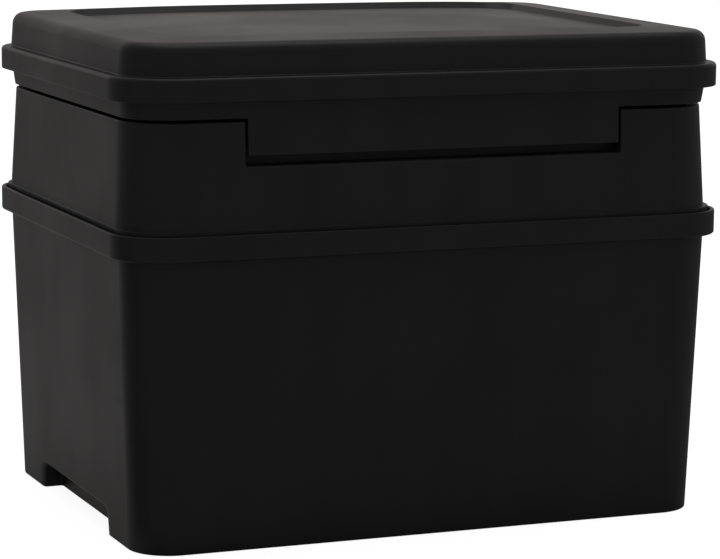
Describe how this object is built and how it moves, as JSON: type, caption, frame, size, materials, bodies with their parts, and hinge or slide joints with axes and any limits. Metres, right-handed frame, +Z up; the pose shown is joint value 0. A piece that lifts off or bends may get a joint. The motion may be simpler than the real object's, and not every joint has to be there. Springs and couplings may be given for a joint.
{
  "type": "attached lid tote",
  "caption": "Black moulded storage tote: tapered tub with end hand notches, riser collar standing in its rim, and a back-hinged lid with a recessed top and a front lifting tongue.",
  "frame": {"origin": "on the ground under the middle of the tub", "axes": "+Z up, -Y towards the front with the lifting tongue, +Y towards the hinge, +X to the right seen from the front"},
  "size_m": [0.4, 0.3, 0.3123],
  "materials": {
    "tub_plastic": "black moulded plastic, fine satin grain",
    "collar_plastic": "black moulded plastic, fine satin grain",
    "lid_plastic": "black moulded plastic, fine satin grain",
    "rod_steel": "drawn bright steel",
    "cap_plastic": "black moulded plastic"
  },
  "bodies": {
    "tub": {"tub": "tub_plastic"},
    "collar": {"riser_collar": "collar_plastic", "hinge_rod": "rod_steel", "rod_cap_left": "cap_plastic", "rod_cap_right": "cap_plastic"},
    "lid": {"lid": "lid_plastic"}
  },
  "joints": [
    {"name": "collar_lift", "type": "slide", "parent": "tub", "child": "collar", "axis": [0, 0, 1], "range_m": [0, 0.02]},
    {"name": "lid_hinge", "type": "hinge", "parent": "collar", "child": "lid", "pos_m": [0, 0.14642, 0.259], "axis": [-1, 0, 0], "range_deg": [0, 100]}
  ]
}
